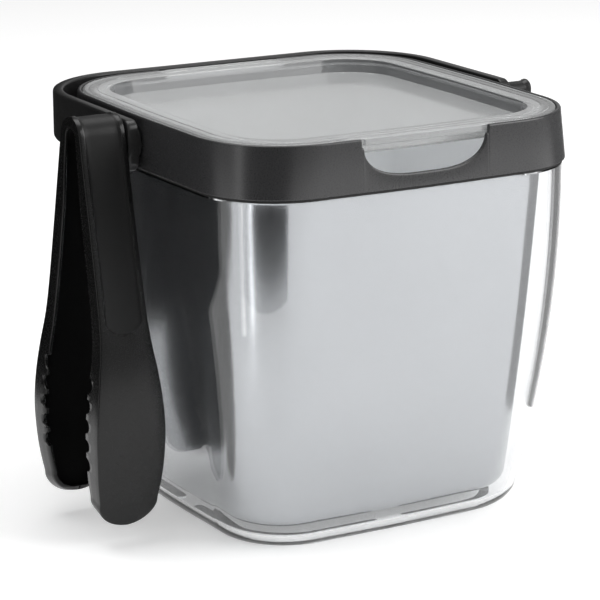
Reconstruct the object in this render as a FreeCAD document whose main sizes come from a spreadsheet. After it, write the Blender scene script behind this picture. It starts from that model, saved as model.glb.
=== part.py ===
import FreeCAD, Part
import math
import os
import re

import Sketcher

# An ice bucket with a folding bail handle, a lift-off lid and a pair of tongs hung on a side post.
# Millimetres. It stands on z = 0 centred on the origin, +Z up. The finger notch faces -Y and the
# tongs hang on the -X side. All pivots lie on one axis along X, through y = 0 at pivot_height.

DIMENSIONS = {
    # clear outer shell. Walls bow outward: half width = peak_x - bow * (peak - height)^2
    "shell_base": 1.2,
    "shell_top": 159.8,
    "shell_peak": 150.0,
    "shell_peak_x": 89.2,
    "shell_bow": 0.000628,
    "shell_base_corner": 34.0,
    "shell_top_corner": 37.0,
    "shell_wall": 3.0,
    "shell_floor": 4.0,
    "shell_edge_round": 7.0,
    # half depth less half width, at the base and at the collar
    "depth_extra_base": 1.0,
    "depth_extra_top": 3.0,
    # brushed liner, bowed in the same way
    "liner_base": 10.0,
    "liner_peak": 280.6,
    "liner_peak_x": 82.61,
    "liner_bow": 0.000164,
    "liner_base_corner": 27.0,
    "liner_top_corner": 29.5,
    "liner_wall": 0.8,
    "liner_edge_round": 6.0,
    "flange_x": 83.6,
    "flange_corner": 32.5,
    # collar
    "collar_base": 160.6,
    "collar_top": 183.0,
    "collar_under": 164.5,
    "collar_base_x": 90.2,
    "collar_top_x": 89.4,
    "collar_base_corner": 37.5,
    "collar_top_corner": 41.0,
    "collar_edge_round": 1.2,
    "mouth_x": 81.5,
    "mouth_corner": 31.0,
    "lid_seat_x": 87.6,
    "lid_seat_corner": 39.0,
    "lid_seat": 179.7,
    "tongue_x": 85.8,
    "tongue_corner": 33.5,
    "tongue_inner_x": 84.0,
    "tongue_inner_corner": 32.9,
    "tongue_base": 158.8,
    "tab_slot_half": 31.5,
    "tab_slot_floor": 179.3,
    "notch_half": 31.0,
    "notch_bottom": 165.6,
    "notch_flat_half": 14.0,
    "notch_shoulder": 176.6,
    "notch_round": 13.7,
    # seal ring between the shell and the collar
    "gasket_x": 88.6,
    "gasket_inner_x": 86.4,
    "gasket_corner": 36.5,
    "gasket_inner_corner": 34.3,
    # lid
    "lid_x": 86.8,
    "lid_corner": 38.2,
    "lid_bowl_x": 77.0,
    "lid_bowl_corner": 29.0,
    "lid_recess_x": 74.5,
    "lid_recess_corner": 27.0,
    "lid_recess_floor": 176.6,
    "lid_under": 174.1,
    "lid_tab_half": 29.2,
    "lid_tab_reach": 90.2,
    # pivots and hanger posts
    "pivot_height": 171.75,
    "shank_radius": 3.0,
    "journal_radius": 4.0,
    "running_gap": 0.05,
    "assembly_gap": 0.1,
    "head_gap": 0.02,
    "shank_end_x": 86.2,
    "shoulder_x": 90.35,
    "screw_wall_x": 84.0,
    "screw_radius": 1.25,
    "screw_head_radius": 2.9,
    "screw_head": 1.8,
    "screw_socket": 1.3,
    "screw_end_x": 94.8,
    "screw_bore_end_x": 95.4,
    "post_root_x": 98.25,
    "post_lip_x": 112.8,
    "post_end_x": 114.6,
    "post_half_width": 3.9,
    "post_half_height": 7.6,
    "lip_half_width": 4.3,
    "lip_half_height": 8.3,
    "washer_radius": 7.5,
    "washer_end_x": 93.0,
    # bail handle
    "handle_x": 98.0,
    "handle_back": 101.0,
    "handle_thick": 4.8,
    "handle_corner": 46.0,
    "handle_half_height": 11.2,
    "handle_front": 10.5,
    "handle_end_round": 4.5,
    "handle_edge_round": 1.0,
    # feet
    "foot_outer_x": 66.0,
    "foot_outer_y": 67.0,
    "foot_corner": 30.0,
    "foot_width": 5.0,
    "foot_gap_half": 6.5,
    "foot_centre_radius": 7.0,
    # drain tray
    "tray_x": 65.5,
    "tray_corner": 24.0,
    "tray_base": 17.0,
    "tray_thick": 2.0,
    "tray_edge_round": 0.6,
    "tray_hole": 2.75,
    "tray_hole_first": 48.0,
    "tray_hole_pitch": 16.0,
    "tray_hole_count": 7,
    "tray_leg_radius": 3.5,
    "tray_leg_x": 45.0,
    "tray_leg_y": 46.0,
    "tray_leg_offset": 8.0,
    # tongs: side view
    "tong_x": 109.5,
    "tong_half_width": 11.0,
    "bow_height": 175.8,
    "bow_outer": 9.8,
    "bow_inner": 4.7,
    "bow_base": 170.0,
    "arm_top_out": 11.1,
    "arm_top_in": 5.6,
    "arm_knee": 92.0,
    "arm_knee_out": 28.4,
    "arm_knee_in": 20.0,
    "jaw_height": 58.0,
    "jaw_out": 33.0,
    "jaw_curve": 189.0,
    "tip_curve": 146.6,
    "tip_height": 9.0,
    "tip_out": 26.5,
    "tip_in": 20.0,
    "tip_in_height": 22.0,
    "tip_round": 12.0,
    # tongs: front view
    "arm_waist": 105.0,
    "arm_waist_half": 11.4,
    "arm_flare": 79.0,
    "arm_flare_half": 13.9,
    "flare_curve": 145.0,
    "jaw_widest": 53.0,
    "jaw_half": 16.4,
    "tip_side_height": 20.0,
    "tip_side_half": 13.9,
    "tip_side_curve": 206.0,
    "tip_end": 9.0,
    "tip_end_curve": 14.28,
    "tong_skin": 1.8,
    "channel_top": 164.0,
    "tooth_radius": 3.2,
    "tooth_first": 36.0,
    "tooth_pitch": 9.5,
    "tooth_count": 5,
}

SHEET = "dimensions"
SIDES = {"left": -1, "right": 1}
ROUND_STEPS = 3
WALL_STEPS = 5
ALONG_X = FreeCAD.Rotation(FreeCAD.Vector(0, 1, 0), 90)
CENTRE_TOLERANCE = 1e-6
MATCH = 0.01

doc = FreeCAD.newDocument("ice_bucket")
sheet = doc.addObject("Spreadsheet::Sheet", SHEET)
for row, (alias, size) in enumerate(DIMENSIONS.items(), start=1):
    sheet.set(f"A{row}", alias)
    sheet.set(f"B{row}", str(size))
    sheet.setAlias(f"B{row}", alias)
doc.recompute()


def formula(text):
    """A formula in the sheet's aliases, written as an expression that any object can hold."""
    return re.sub(r"[a-z_]+", lambda word: f"<<{SHEET}>>.{word.group()}", str(text))


def number(text):
    """The present value of a formula, in millimetres."""
    return float(sheet.evalExpression(formula(text)))


def bind(item, path, text):
    item.setExpression(path, formula(text))


# ---------------------------------------------------------------- sketches

def make_body(label):
    body = doc.addObject("PartDesign::Body", label)
    body.Label = label
    return body


def origin_plane(body, role):
    return next(plane for plane in body.Origin.OriginFeatures if plane.Role == role)


def make_sketch(body, name, role, lift="0", rise="0"):
    """An empty sketch on an origin plane, moved by lift along its normal and by rise up its own y."""
    sketch = body.newObject("Sketcher::SketchObject", name)
    sketch.AttachmentSupport = [(origin_plane(body, role), "")]
    sketch.MapMode = "FlatFace"
    bind(sketch, ".AttachmentOffset.Base.z", lift)
    bind(sketch, ".AttachmentOffset.Base.y", rise)
    return sketch


def arc_between(start, end, radius, turn):
    """The shorter arc from start to end, turning left (turn 1) or right (turn -1)."""
    chord = end - start
    half = chord.Length / 2
    rise = math.sqrt(max(radius ** 2 - half ** 2, 0))
    normal = FreeCAD.Vector(-chord.y, chord.x, 0).normalize()
    centre = (start + end) / 2 + normal * rise * turn
    first, last = (start, end) if turn > 0 else (end, start)
    begin = math.atan2(first.y - centre.y, first.x - centre.x)
    finish = math.atan2(last.y - centre.y, last.x - centre.x)
    if finish <= begin:
        finish += 2 * math.pi
    circle = Part.Circle(centre, FreeCAD.Vector(0, 0, 1), radius)
    return Part.ArcOfCircle(circle, begin, finish)


def draw_outline(sketch, corners):
    """A closed outline. Each corner is (x, y) or (x, y, radius, turn): how the edge to the next runs."""
    places = [FreeCAD.Vector(number(item[0]), number(item[1]), 0) for item in corners]
    starts = []
    for index, item in enumerate(corners):
        start = places[index]
        end = places[(index + 1) % len(corners)]
        if len(item) == 2:
            edge = sketch.addGeometry(Part.LineSegment(start, end), False)
            starts.append((edge, 1, 2))
            continue
        radius, turn = item[2], item[3]
        edge = sketch.addGeometry(arc_between(start, end, number(radius), turn), False)
        starts.append((edge, 1, 2) if turn > 0 else (edge, 2, 1))
        rule = sketch.addConstraint(Sketcher.Constraint("Radius", edge, number(radius)))
        bind(sketch, f"Constraints[{rule}]", radius)
    for index, item in enumerate(corners):
        edge, start_point, end_point = starts[index]
        following, next_start = starts[(index + 1) % len(corners)][:2]
        sketch.addConstraint(Sketcher.Constraint("Coincident", edge, end_point, following, next_start))
        for kind, text in (("DistanceX", item[0]), ("DistanceY", item[1])):
            size = number(text)
            if abs(size) < CENTRE_TOLERANCE and text == "0":
                axis = -2 if kind == "DistanceX" else -1
                sketch.addConstraint(Sketcher.Constraint("PointOnObject", edge, start_point, axis))
                continue
            rule = sketch.addConstraint(Sketcher.Constraint(kind, edge, start_point, size))
            bind(sketch, f"Constraints[{rule}]", text)


def draw_circle(sketch, x, y, radius):
    centre = FreeCAD.Vector(number(x), number(y), 0)
    edge = sketch.addGeometry(Part.Circle(centre, FreeCAD.Vector(0, 0, 1), number(radius)), False)
    rule = sketch.addConstraint(Sketcher.Constraint("Radius", edge, number(radius)))
    bind(sketch, f"Constraints[{rule}]", radius)
    for kind, text in (("DistanceX", x), ("DistanceY", y)):
        if text == "0":
            axis = -2 if kind == "DistanceX" else -1
            sketch.addConstraint(Sketcher.Constraint("PointOnObject", edge, 3, axis))
            continue
        rule = sketch.addConstraint(Sketcher.Constraint(kind, edge, 3, number(text)))
        bind(sketch, f"Constraints[{rule}]", text)


def rounded_rectangle(half_x, half_y, corner):
    """Corners of a rounded rectangle about the origin, anticlockwise."""
    flat_x = f"({half_x} - {corner})"
    flat_y = f"({half_y} - {corner})"
    return [
        (f"-{flat_x}", f"-({half_y})"), (flat_x, f"-({half_y})", corner, 1),
        (half_x, f"-{flat_y}"), (half_x, flat_y, corner, 1),
        (flat_x, half_y), (f"-{flat_x}", half_y, corner, 1),
        (f"-({half_x})", flat_y), (f"-({half_x})", f"-{flat_y}", corner, 1),
    ]


def rectangle(low_x, low_y, high_x, high_y):
    return [(low_x, low_y), (high_x, low_y), (high_x, high_y), (low_x, high_y)]


def ring_section(body, name, height, half_x, extra, corner):
    """A rounded rectangle at a height. Its half depth is half_x plus extra."""
    sketch = make_sketch(body, name, "XY_Plane", lift=height)
    draw_outline(sketch, rounded_rectangle(half_x, f"{half_x} + {extra}", corner))
    return sketch


# ---------------------------------------------------------------- features

def pad(body, name, sketch, length, back=False):
    feature = body.newObject("PartDesign::Pad", name)
    feature.Profile = sketch
    bind(feature, "Length", length)
    feature.Reversed = back
    return feature


def pocket(body, name, sketch, length, back=False):
    """A cut along the sketch's normal, or against it with back."""
    feature = body.newObject("PartDesign::Pocket", name)
    feature.Profile = sketch
    bind(feature, "Length", length)
    feature.Reversed = not back
    return feature


def loft(body, name, sections, cut=False):
    kind = "PartDesign::SubtractiveLoft" if cut else "PartDesign::AdditiveLoft"
    feature = body.newObject(kind, name)
    feature.Profile = sections[0]
    feature.Sections = sections[1:]
    feature.Ruled = True
    return feature


def turn_profile(body, name, sketch, cut=False):
    """A full turn of a profile about its sketch's own x axis."""
    kind = "PartDesign::Groove" if cut else "PartDesign::Revolution"
    feature = body.newObject(kind, name)
    feature.Profile = sketch
    feature.ReferenceAxis = (sketch, ["H_Axis"])
    feature.Angle = 360
    return feature


def flat_edges(shape, height):
    """Names of the edges that lie at one height."""
    names = []
    for index, edge in enumerate(shape.Edges, start=1):
        box = edge.BoundBox
        if abs(box.ZMin - height) < MATCH and abs(box.ZMax - height) < MATCH:
            names.append(f"Edge{index}")
    return names


def round_edges(body, name, base, edges, radius):
    feature = body.newObject("PartDesign::Fillet", name)
    feature.Base = (base, edges)
    bind(feature, "Radius", radius)
    return feature


# ---------------------------------------------------------------- vessel

def round_stations(radius):
    """Rise and inset of points along a quarter round, from its flat end to its upright end."""
    for step in range(ROUND_STEPS):
        angle = math.pi / 2 * step / ROUND_STEPS
        yield f"({radius}) * {1 - math.cos(angle):.4f}", f"({radius}) * {1 - math.sin(angle):.4f}"


def between(low, high, share):
    return f"({low} + ({high} - {low}) * ({share}))"


def vessel_wall(body, name, base, top, radius, inset, cut=False):
    """A rounded, bowed box from base to top, moved inward by inset, with a rounded bottom edge."""
    part = name.split("_")[0]
    stations = [(f"{base} + {rise}", shrink) for rise, shrink in round_stations(radius)]
    for step in range(WALL_STEPS + 1):
        stations.append((between(f"({base} + {radius})", top, f"{step} / {WALL_STEPS}"), "0"))
    sections = []
    for index, (height, shrink) in enumerate(stations):
        share = f"({height}) / shell_top"
        half = f"{part}_peak_x - {part}_bow * ({part}_peak - ({height}))^2 - {inset} - {shrink}"
        extra = between("depth_extra_base", "depth_extra_top", share)
        corner = between(f"{part}_base_corner", f"{part}_top_corner", share)
        sections.append(ring_section(body, f"{name}_section_{index}", height, f"({half})", extra,
                                     f"({corner} - {inset} - {shrink})"))
    return loft(body, name, sections, cut)


def make_outer_shell():
    body = make_body("outer_shell")
    vessel_wall(body, "shell_block", "shell_base", "shell_top", "shell_edge_round", "0")
    vessel_wall(body, "shell_cavity", "(shell_base + shell_floor)", "(shell_top + 1)",
                "(shell_edge_round - shell_wall)", "shell_wall", cut=True)
    return body


def make_inner_liner():
    body = make_body("inner_liner")
    vessel_wall(body, "liner_block", "liner_base", "collar_under", "liner_edge_round", "0")
    flange = ring_section(body, "flange_outline", "collar_under - liner_wall", "flange_x",
                          "depth_extra_top", "flange_corner")
    pad(body, "rim_flange", flange, "liner_wall")
    vessel_wall(body, "liner_cavity", "(liner_base + liner_wall)", "(collar_under + 1)",
                "(liner_edge_round - liner_wall)", "liner_wall", cut=True)
    return body


def pivot_bore_profile(side):
    """Half section of the stepped bore through one side wall: post shank, screw, screw head."""
    shank = "shank_radius + running_gap"
    screw = "screw_radius + assembly_gap"
    head = "screw_head_radius + 2 * assembly_gap"
    steps = [
        ("mouth_x - 1", "0"), ("collar_base_x + 1", "0"), ("collar_base_x + 1", shank),
        ("shank_end_x - assembly_gap", shank), ("shank_end_x - assembly_gap", screw),
        ("screw_wall_x", screw), ("screw_wall_x", head), ("mouth_x - 1", head),
    ]
    return [(f"{side} * ({x})", y) for x, y in steps]


def make_rim_collar():
    body = make_body("rim_collar")
    stations = [("collar_base", "0"), ("collar_top - collar_edge_round", "0")]
    edge = reversed(list(round_stations("collar_edge_round")))
    stations += [(f"collar_top - {rise}", shrink) for rise, shrink in edge]
    sections = []
    for index, (height, shrink) in enumerate(stations):
        share = f"(({height}) - collar_base) / (collar_top - collar_base)"
        half = f"({between('collar_base_x', 'collar_top_x', share)} - {shrink})"
        corner = f"({between('collar_base_corner', 'collar_top_corner', share)} - {shrink})"
        sections.append(ring_section(body, f"outline_{index}", height, half, "depth_extra_top",
                                     corner))
    loft(body, "collar_block", sections)
    tongue = ring_section(body, "tongue_outline", "tongue_base", "tongue_x", "depth_extra_top",
                          "tongue_corner")
    pad(body, "tongue", tongue, "collar_base - tongue_base")
    mouth = ring_section(body, "mouth_outline", "tongue_base", "mouth_x", "depth_extra_top",
                         "mouth_corner")
    pocket(body, "mouth", mouth, "collar_top - tongue_base")
    under = ring_section(body, "liner_seat_outline", "tongue_base", "tongue_inner_x",
                         "depth_extra_top", "tongue_inner_corner")
    pocket(body, "liner_seat", under, "collar_under - tongue_base")
    seat = ring_section(body, "lid_seat_outline", "lid_seat", "lid_seat_x", "depth_extra_top",
                        "lid_seat_corner")
    pocket(body, "lid_seat_cut", seat, "collar_top - lid_seat")
    reach = "collar_base_x + depth_extra_top + 1"
    tab_slots = make_sketch(body, "tab_slot_outline", "XY_Plane", lift="tab_slot_floor")
    draw_outline(tab_slots, rectangle("-tab_slot_half", f"-({reach})", "tab_slot_half", reach))
    pocket(body, "tab_slots", tab_slots, "collar_top - tab_slot_floor")
    notch = make_sketch(body, "notch_outline", "XZ_Plane", lift="mouth_x - 1")
    draw_outline(notch, [
        ("-notch_half", "collar_top"), ("-notch_half", "notch_shoulder", "notch_round", 1),
        ("-notch_flat_half", "notch_bottom"), ("notch_flat_half", "notch_bottom", "notch_round", 1),
        ("notch_half", "notch_shoulder"), ("notch_half", "collar_top"),
    ])
    pocket(body, "finger_notch", notch, f"{reach} - mouth_x + 1")
    bores = make_sketch(body, "pivot_bore_profile", "XZ_Plane", rise="pivot_height")
    for side in SIDES.values():
        draw_outline(bores, pivot_bore_profile(side))
    turn_profile(body, "pivot_bores", bores, cut=True)
    return body


def make_rim_gasket():
    body = make_body("rim_gasket")
    outer = ring_section(body, "outer_outline", "shell_top", "gasket_x", "depth_extra_top",
                         "gasket_corner")
    pad(body, "ring", outer, "collar_base - shell_top")
    inner = ring_section(body, "inner_outline", "shell_top", "gasket_inner_x", "depth_extra_top",
                         "gasket_inner_corner")
    pocket(body, "opening", inner, "collar_base - shell_top")
    return body


def foot_outline(side_x, side_y):
    """An L-shaped foot round one corner, with rounded ends."""
    half_width = "foot_width / 2"
    inner_corner = "foot_corner - foot_width"
    turn = side_x * side_y
    near = "foot_gap_half + foot_width / 2"
    corners = [
        (near, "foot_outer_y", half_width, 1),
        ("foot_gap_half", f"foot_outer_y - {half_width}", half_width, 1),
        (near, "foot_outer_y - foot_width"),
        ("foot_outer_x - foot_corner", "foot_outer_y - foot_width", inner_corner, -1),
        ("foot_outer_x - foot_width", "foot_outer_y - foot_corner"),
        ("foot_outer_x - foot_width", near, half_width, 1),
        (f"foot_outer_x - {half_width}", "foot_gap_half", half_width, 1),
        ("foot_outer_x", near),
        ("foot_outer_x", "foot_outer_y - foot_corner", "foot_corner", 1),
        ("foot_outer_x - foot_corner", "foot_outer_y"),
    ]
    outline = []
    for x, y, *bend in corners:
        if bend:
            bend = [bend[0], bend[1] * turn]
        outline.append((f"{side_x} * ({x})", f"{side_y} * ({y})", *bend))
    return outline


def make_feet():
    feet = []
    for depth, side_y in (("front", -1), ("rear", 1)):
        for width, side_x in SIDES.items():
            body = make_body(f"base_foot_{depth}_{width}")
            sketch = make_sketch(body, "foot_outline", "XY_Plane")
            draw_outline(sketch, foot_outline(side_x, side_y))
            pad(body, "foot", sketch, "shell_base")
            feet.append(body)
    centre = make_body("base_foot_centre")
    disc = make_sketch(centre, "disc_outline", "XY_Plane")
    draw_circle(disc, "0", "0", "foot_centre_radius")
    pad(centre, "disc", disc, "shell_base")
    return feet + [centre]


# ---------------------------------------------------------------- lid and tray

def make_lid():
    body = make_body("lid")
    plate = ring_section(body, "flange_outline", "lid_seat", "lid_x", "depth_extra_top",
                         "lid_corner")
    pad(body, "flange", plate, "collar_top - lid_seat")
    tabs = make_sketch(body, "tab_outline", "XY_Plane", lift="lid_seat")
    draw_outline(tabs, rectangle("-lid_tab_half", "-lid_tab_reach", "lid_tab_half", "lid_tab_reach"))
    pad(body, "tabs", tabs, "collar_top - lid_seat")
    bowl = ring_section(body, "bowl_outline", "lid_under", "lid_bowl_x", "depth_extra_top",
                        "lid_bowl_corner")
    pad(body, "bowl", bowl, "lid_seat - lid_under")
    recess = ring_section(body, "recess_outline", "lid_recess_floor", "lid_recess_x",
                          "depth_extra_top", "lid_recess_corner")
    pocket(body, "recess", recess, "collar_top - lid_recess_floor")
    return body


def make_drain_tray():
    body = make_body("drain_tray")
    plate = ring_section(body, "plate_outline", "tray_base", "tray_x", "depth_extra_base",
                         "tray_corner")
    block = pad(body, "plate", plate, "tray_thick")
    doc.recompute()
    top = number("tray_base + tray_thick")
    round_edges(body, "plate_round", block, flat_edges(block.Shape, top), "tray_edge_round")
    legs = make_sketch(body, "leg_outline", "XY_Plane", lift="liner_base + liner_wall")
    for side_x in SIDES.values():
        for side_y in SIDES.values():
            draw_circle(legs, f"{side_x} * (tray_leg_x - tray_leg_offset / 2)",
                        f"{side_y} * (tray_leg_y - tray_leg_offset / 2)", "tray_leg_radius")
    pad(body, "legs", legs, "tray_base - liner_base - liner_wall")
    first = make_sketch(body, "hole_outline", "XY_Plane", lift="tray_base")
    draw_circle(first, "-tray_hole_first", "-tray_hole_first", "tray_hole")
    hole = pocket(body, "hole", first, "tray_thick")
    doc.recompute()
    grid = body.newObject("PartDesign::MultiTransform", "hole_grid")
    grid.Originals = [hole]
    steps = []
    for name, axis in (("columns", "H_Axis"), ("rows", "V_Axis")):
        step = body.newObject("PartDesign::LinearPattern", name)
        step.Direction = (first, [axis])
        bind(step, "Length", "tray_hole_pitch * (tray_hole_count - 1)")
        bind(step, "Occurrences", "tray_hole_count")
        steps.append(step)
    grid.Transformations = steps
    body.Tip = grid
    return body


# ---------------------------------------------------------------- handle and pivots

def make_bail_handle():
    body = make_body("bail_handle")
    bend_x = "(handle_x - handle_corner)"
    bend_y = "handle_back - handle_corner"
    inner_x = "(handle_x - handle_thick)"
    inner_back = "handle_back - handle_thick"
    inner_corner = "handle_corner - handle_thick"
    outline = make_sketch(body, "bail_outline", "XY_Plane", lift="pivot_height - handle_half_height")
    draw_outline(outline, [
        ("handle_x", "-handle_front"), ("handle_x", bend_y, "handle_corner", 1),
        (bend_x, "handle_back"), (f"-{bend_x}", "handle_back", "handle_corner", 1),
        ("-handle_x", bend_y), ("-handle_x", "-handle_front"),
        (f"-{inner_x}", "-handle_front"), (f"-{inner_x}", bend_y, inner_corner, -1),
        (f"-{bend_x}", inner_back), (bend_x, inner_back, inner_corner, -1),
        (inner_x, bend_y), (inner_x, "-handle_front"),
    ])
    band = pad(body, "band", outline, "2 * handle_half_height")
    doc.recompute()
    front = -number("handle_front")
    ends = []
    for index, edge in enumerate(band.Shape.Edges, start=1):
        box = edge.BoundBox
        at_front = abs(box.YMin - front) < MATCH and abs(box.YMax - front) < MATCH
        if at_front and box.ZLength < MATCH:
            ends.append(f"Edge{index}")
    rounded = round_edges(body, "end_round", band, ends, "handle_end_round")
    doc.recompute()
    outer = []
    for index, edge in enumerate(rounded.Shape.Edges, start=1):
        box = edge.BoundBox
        level = box.ZLength < MATCH and box.YLength > number("handle_corner") / 2
        wide = max(abs(box.XMin), abs(box.XMax)) > number("handle_x") - MATCH
        if level and wide:
            outer.append(f"Edge{index}")
    round_edges(body, "edge_round", rounded, outer, "handle_edge_round")
    eyes = make_sketch(body, "eye_outline", "YZ_Plane", lift="-handle_x - 1", rise="pivot_height")
    draw_circle(eyes, "0", "0", "journal_radius + running_gap")
    pocket(body, "eyes", eyes, "2 * (handle_x + 1)")
    return body


def obround(half_width, half_height):
    """An upright slot shape about the origin, anticlockwise."""
    level = f"({half_height} - {half_width})"
    return [
        (half_width, f"-{level}"), (half_width, level, half_width, 1),
        ("0", half_height, half_width, 1), (f"-{half_width}", level),
        (f"-{half_width}", f"-{level}", half_width, 1), ("0", f"-{half_height}", half_width, 1),
    ]


def make_hanger_post(name, side):
    body = make_body(f"hanger_post_{name}")
    bore = "screw_radius + assembly_gap"
    steps = [
        ("shank_end_x", "shank_radius"), ("shoulder_x", "shank_radius"),
        ("shoulder_x", "journal_radius"), ("post_root_x", "journal_radius"), ("post_root_x", "0"),
        ("screw_bore_end_x", "0"), ("screw_bore_end_x", bore), ("shank_end_x", bore),
    ]
    profile = make_sketch(body, "shank_profile", "XZ_Plane", rise="pivot_height")
    draw_outline(profile, [(f"{side} * ({x})", y) for x, y in steps])
    turn_profile(body, "shank", profile)
    inward = side < 0
    root = make_sketch(body, "post_outline", "YZ_Plane", lift=f"{side} * post_root_x",
                       rise="pivot_height")
    draw_outline(root, obround("post_half_width", "post_half_height"))
    pad(body, "post", root, "post_lip_x - post_root_x", back=inward)
    lip = make_sketch(body, "lip_outline", "YZ_Plane", lift=f"{side} * post_lip_x",
                      rise="pivot_height")
    draw_outline(lip, obround("lip_half_width", "lip_half_height"))
    pad(body, "lip", lip, "post_end_x - post_lip_x", back=inward)
    return body


def make_washer(name, side):
    body = make_body(f"spacer_washer_{name}")
    inner = "journal_radius + running_gap"
    profile = make_sketch(body, "washer_profile", "XZ_Plane", rise="pivot_height")
    steps = rectangle("shoulder_x", inner, "washer_end_x", "washer_radius")
    draw_outline(profile, [(f"{side} * ({x})", y) for x, y in steps])
    turn_profile(body, "washer", profile)
    return body


def make_cylinder(name, radius, length, x, y, z, turned=ALONG_X):
    item = doc.addObject("Part::Cylinder", name)
    bind(item, "Radius", radius)
    bind(item, "Height", length)
    item.Placement = FreeCAD.Placement(FreeCAD.Vector(0, 0, 0), turned)
    bind(item, ".Placement.Base.x", x)
    bind(item, ".Placement.Base.y", y)
    bind(item, ".Placement.Base.z", z)
    return item


def make_post_screws():
    """Two screws, driven from inside the collar into the posts."""
    screws = []
    for name, side in SIDES.items():
        length = "screw_end_x - screw_wall_x + screw_head"
        head_end = "(screw_wall_x - screw_head)"
        stem_x = head_end if side > 0 else "-screw_end_x"
        head_x = head_end if side > 0 else "-screw_wall_x + head_gap"
        socket_x = head_end if side > 0 else f"-({head_end} + screw_head / 2)"
        stem = make_cylinder(f"stem_{name}", "screw_radius", length, stem_x, "0", "pivot_height")
        head = make_cylinder(f"head_{name}", "screw_head_radius", "screw_head - head_gap", head_x,
                             "0", "pivot_height")
        blank = doc.addObject("Part::Fuse", f"screw_blank_{name}")
        blank.Base = stem
        blank.Tool = head
        socket = doc.addObject("Part::Prism", f"socket_{name}")
        socket.Polygon = 6
        bind(socket, "Circumradius", "screw_socket")
        bind(socket, "Height", "screw_head / 2")
        socket.Placement = FreeCAD.Placement(FreeCAD.Vector(0, 0, 0), ALONG_X)
        bind(socket, ".Placement.Base.x", socket_x)
        bind(socket, ".Placement.Base.z", "pivot_height")
        screw = doc.addObject("Part::Cut", f"screw_{name}")
        screw.Base = blank
        screw.Tool = socket
        screws.append(screw)
    group = doc.addObject("Part::Compound", "post_screws")
    group.Links = screws
    return group


# ---------------------------------------------------------------- tongs

def make_tong_bow():
    body = make_body("tong_bow")
    outline = make_sketch(body, "bow_outline", "YZ_Plane", lift="-(tong_x + tong_half_width)")
    draw_outline(outline, [
        ("arm_top_out", "bow_base"), ("bow_outer", "bow_height", "bow_outer", 1),
        ("0", "bow_height + bow_outer", "bow_outer", 1), ("-bow_outer", "bow_height"),
        ("-arm_top_out", "bow_base"), ("-arm_top_in", "bow_base"),
        ("-bow_inner", "bow_height", "bow_inner", -1),
        ("0", "bow_height + bow_inner", "bow_inner", -1), ("bow_inner", "bow_height"),
        ("arm_top_in", "bow_base"),
    ])
    pad(body, "bow", outline, "2 * tong_half_width")
    return body


def side_view(side):
    """Outline of an arm seen along X, from its top down the outside and up the inside."""
    corners = [
        ("arm_top_out", "bow_base"), ("arm_knee_out", "arm_knee", "jaw_curve", -1),
        ("jaw_out", "jaw_height", "tip_curve", -1), ("tip_out", "tip_height", "tip_round", -1),
        ("tip_in", "tip_in_height"), ("arm_knee_in", "arm_knee"), ("arm_top_in", "bow_base"),
    ]
    return mirrored(corners, side)


def side_core(side):
    """The space inside the channel seen along X, open towards the other arm."""
    slope = "((arm_knee_out - arm_top_out) / (bow_base - arm_knee))"
    corners = [
        (f"arm_top_out + {slope} * (bow_base - channel_top) - tong_skin", "channel_top"),
        ("arm_knee_out - tong_skin", "arm_knee", "jaw_curve - tong_skin", -1),
        ("jaw_out - tong_skin", "jaw_height", "tip_curve - tong_skin", -1),
        ("tip_out - tong_skin", "tip_height + tong_skin"),
        ("0", "tip_height + tong_skin"), ("0", "channel_top"),
    ]
    return mirrored(corners, side)


def mirrored(corners, side):
    outline = []
    for x, y, *bend in corners:
        if bend:
            bend = [bend[0], bend[1] * side]
        outline.append((f"{side} * ({x})", y, *bend))
    return outline


def front_view(inset, top):
    """Outline of an arm seen along Y, about its middle line, moved inward by inset."""
    right = [
        ("tip_side_half", "tip_side_height", f"tip_side_curve - {inset}", 1),
        ("jaw_half", "jaw_widest", f"flare_curve - {inset}", 1),
        ("arm_flare_half", "arm_flare", f"flare_curve + {inset}", -1),
        ("arm_waist_half", "arm_waist"),
    ]
    outline = [("-tong_x", f"tip_end + {inset}", f"tip_end_curve - {inset}", 1)]
    outline += [(f"{x} - {inset} - tong_x", y, *bend) for x, y, *bend in right]
    outline.append((f"tong_half_width - {inset} - tong_x", top))
    outline.append((f"-(tong_half_width - {inset}) - tong_x", top))
    outline.append((f"-(arm_waist_half - {inset}) - tong_x", "arm_waist", f"flare_curve + {inset}", -1))
    outline.append((f"-(arm_flare_half - {inset}) - tong_x", "arm_flare", f"flare_curve - {inset}", 1))
    outline.append((f"-(jaw_half - {inset}) - tong_x", "jaw_widest", f"tip_side_curve - {inset}", 1))
    outline.append((f"-(tip_side_half - {inset}) - tong_x", "tip_side_height",
                    f"tip_end_curve - {inset}", 1))
    return outline


def extruded_view(label, role, lift, outline, length):
    body = make_body(label)
    sketch = make_sketch(body, "view_outline", role, lift=lift)
    draw_outline(sketch, outline)
    pad(body, "view", sketch, length)
    return body


def shared_solid(label, first, second):
    item = doc.addObject("Part::MultiCommon", label)
    item.Shapes = [first, second]
    return item


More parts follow.
